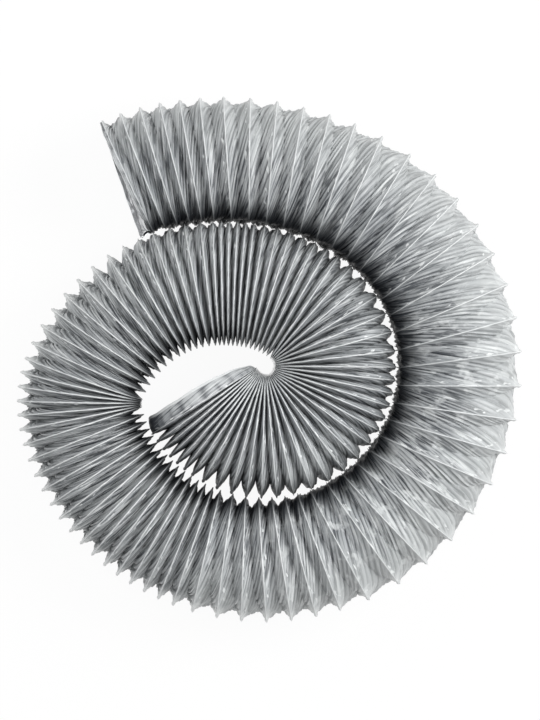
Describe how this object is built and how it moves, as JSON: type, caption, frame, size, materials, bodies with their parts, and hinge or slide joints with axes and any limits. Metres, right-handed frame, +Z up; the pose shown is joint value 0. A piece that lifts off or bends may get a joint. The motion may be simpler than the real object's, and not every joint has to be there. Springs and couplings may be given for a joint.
{
  "type": "flexible air duct",
  "caption": "Grey pleated flexible air duct on a spring-wire helix, lying flat in a loose double coil with two plain open ends.",
  "frame": {"origin": "middle of the coil's box, on the surface it lies on", "axes": "+Z up, out of the coil's plane; +Y to the top of the view from above; the duct runs anticlockwise from its inner mouth, seen from above"},
  "size_m": [0.4274, 0.4448, 0.1044],
  "materials": {
    "film": "satin grey laminate",
    "wire": "drawn bright"
  },
  "bodies": {
    "length_01": {"wall_01": "film", "wire_01": "wire"},
    "length_02": {"wall_02": "film", "wire_02": "wire"},
    "length_03": {"wall_03": "film", "wire_03": "wire"},
    "length_04": {"wall_04": "film", "wire_04": "wire"},
    "length_05": {"wall_05": "film", "wire_05": "wire"},
    "length_06": {"wall_06": "film", "wire_06": "wire"},
    "length_07": {"wall_07": "film", "wire_07": "wire"},
    "length_08": {"wall_08": "film", "wire_08": "wire"},
    "length_09": {"wall_09": "film", "wire_09": "wire"},
    "length_10": {"wall_10": "film", "wire_10": "wire"},
    "length_11": {"wall_11": "film", "wire_11": "wire"},
    "length_12": {"wall_12": "film", "wire_12": "wire"},
    "length_13": {"wall_13": "film", "wire_13": "wire"},
    "length_14": {"wall_14": "film", "wire_14": "wire"},
    "length_15": {"wall_15": "film", "wire_15": "wire"},
    "length_16": {"wall_16": "film", "wire_16": "wire"},
    "length_17": {"wall_17": "film", "wire_17": "wire"},
    "length_18": {"wall_18": "film", "wire_18": "wire"}
  },
  "joints": [
    {"name": "uncoil", "type": "hinge", "parent": "length_01", "child": "length_02", "pos_m": [-0.06196, -0.10061, 0.05222], "axis": [0, 0, -1], "range_deg": [0, 34]},
    {"name": "uncoil_03", "type": "hinge", "parent": "length_02", "child": "length_03", "pos_m": [0.0132, -0.11659, 0.05222], "axis": [0, 0, -1], "range_deg": [0, 45.05]},
    {"name": "uncoil_04", "type": "hinge", "parent": "length_03", "child": "length_04", "pos_m": [0.09138, -0.06582, 0.05222], "axis": [0, 0, -1], "range_deg": [0, 42.05]},
    {"name": "uncoil_05", "type": "hinge", "parent": "length_04", "child": "length_05", "pos_m": [0.10881, -0.00076, 0.05222], "axis": [0, 0, -1], "range_deg": [0, 42.55]},
    {"name": "uncoil_06", "type": "hinge", "parent": "length_05", "child": "length_06", "pos_m": [0.06427, 0.08479, 0.05222], "axis": [0, 0, -1], "range_deg": [0, 40.05]},
    {"name": "uncoil_07", "type": "hinge", "parent": "length_06", "child": "length_07", "pos_m": [-0.00901, 0.11515, 0.05222], "axis": [0, 0, -1], "range_deg": [0, 20.05]},
    {"name": "uncoil_08", "type": "hinge", "parent": "length_07", "child": "length_08", "pos_m": [-0.05119, 0.11699, 0.05222], "axis": [0, 0, -1], "range_deg": [0, 19.55]},
    {"name": "uncoil_09", "type": "hinge", "parent": "length_08", "child": "length_09", "pos_m": [-0.13012, 0.09286, 0.05222], "axis": [0, 0, -1], "range_deg": [0, 32.05]},
    {"name": "uncoil_10", "type": "hinge", "parent": "length_09", "child": "length_10", "pos_m": [-0.20481, 0.00694, 0.05222], "axis": [0, 0, -1], "range_deg": [0, 36.55]},
    {"name": "uncoil_11", "type": "hinge", "parent": "length_10", "child": "length_11", "pos_m": [-0.21053, -0.06571, 0.05222], "axis": [0, 0, -1], "range_deg": [0, 32.55]},
    {"name": "uncoil_12", "type": "hinge", "parent": "length_11", "child": "length_12", "pos_m": [-0.16488, -0.15157, 0.05222], "axis": [0, 0, -1], "range_deg": [0, 28.55]},
    {"name": "uncoil_13", "type": "hinge", "parent": "length_12", "child": "length_13", "pos_m": [-0.07549, -0.21073, 0.05222], "axis": [0, 0, -1], "range_deg": [0, 34.05]},
    {"name": "uncoil_14", "type": "hinge", "parent": "length_13", "child": "length_14", "pos_m": [0.07083, -0.20945, 0.05222], "axis": [0, 0, -1], "range_deg": [0, 42.55]},
    {"name": "uncoil_15", "type": "hinge", "parent": "length_14", "child": "length_15", "pos_m": [0.19579, -0.09293, 0.05222], "axis": [0, 0, -1], "range_deg": [0, 46.55]},
    {"name": "uncoil_16", "type": "hinge", "parent": "length_15", "child": "length_16", "pos_m": [0.19728, 0.07762, 0.05222], "axis": [0, 0, -1], "range_deg": [0, 44.55]},
    {"name": "uncoil_17", "type": "hinge", "parent": "length_16", "child": "length_17", "pos_m": [0.08366, 0.19528, 0.05222], "axis": [0, 0, -1], "range_deg": [0, 34.55]},
    {"name": "uncoil_18", "type": "hinge", "parent": "length_17", "child": "length_18", "pos_m": [-0.05008, 0.22249, 0.05222], "axis": [0, 0, -1], "range_deg": [0, 24.55]}
  ],
  "couplings": [
    {"joint": "uncoil_03", "follows": "uncoil", "ratio": 1.3235},
    {"joint": "uncoil_04", "follows": "uncoil", "ratio": 1.2353},
    {"joint": "uncoil_05", "follows": "uncoil", "ratio": 1.25},
    {"joint": "uncoil_06", "follows": "uncoil", "ratio": 1.1765},
    {"joint": "uncoil_07", "follows": "uncoil", "ratio": 0.5882},
    {"joint": "uncoil_08", "follows": "uncoil", "ratio": 0.5735},
    {"joint": "uncoil_09", "follows": "uncoil", "ratio": 0.9412},
    {"joint": "uncoil_10", "follows": "uncoil", "ratio": 1.0735},
    {"joint": "uncoil_11", "follows": "uncoil", "ratio": 0.9559},
    {"joint": "uncoil_12", "follows": "uncoil", "ratio": 0.8382},
    {"joint": "uncoil_13", "follows": "uncoil", "ratio": 1},
    {"joint": "uncoil_14", "follows": "uncoil", "ratio": 1.25},
    {"joint": "uncoil_15", "follows": "uncoil", "ratio": 1.3676},
    {"joint": "uncoil_16", "follows": "uncoil", "ratio": 1.3088},
    {"joint": "uncoil_17", "follows": "uncoil", "ratio": 1.0147},
    {"joint": "uncoil_18", "follows": "uncoil", "ratio": 0.7206}
  ]
}
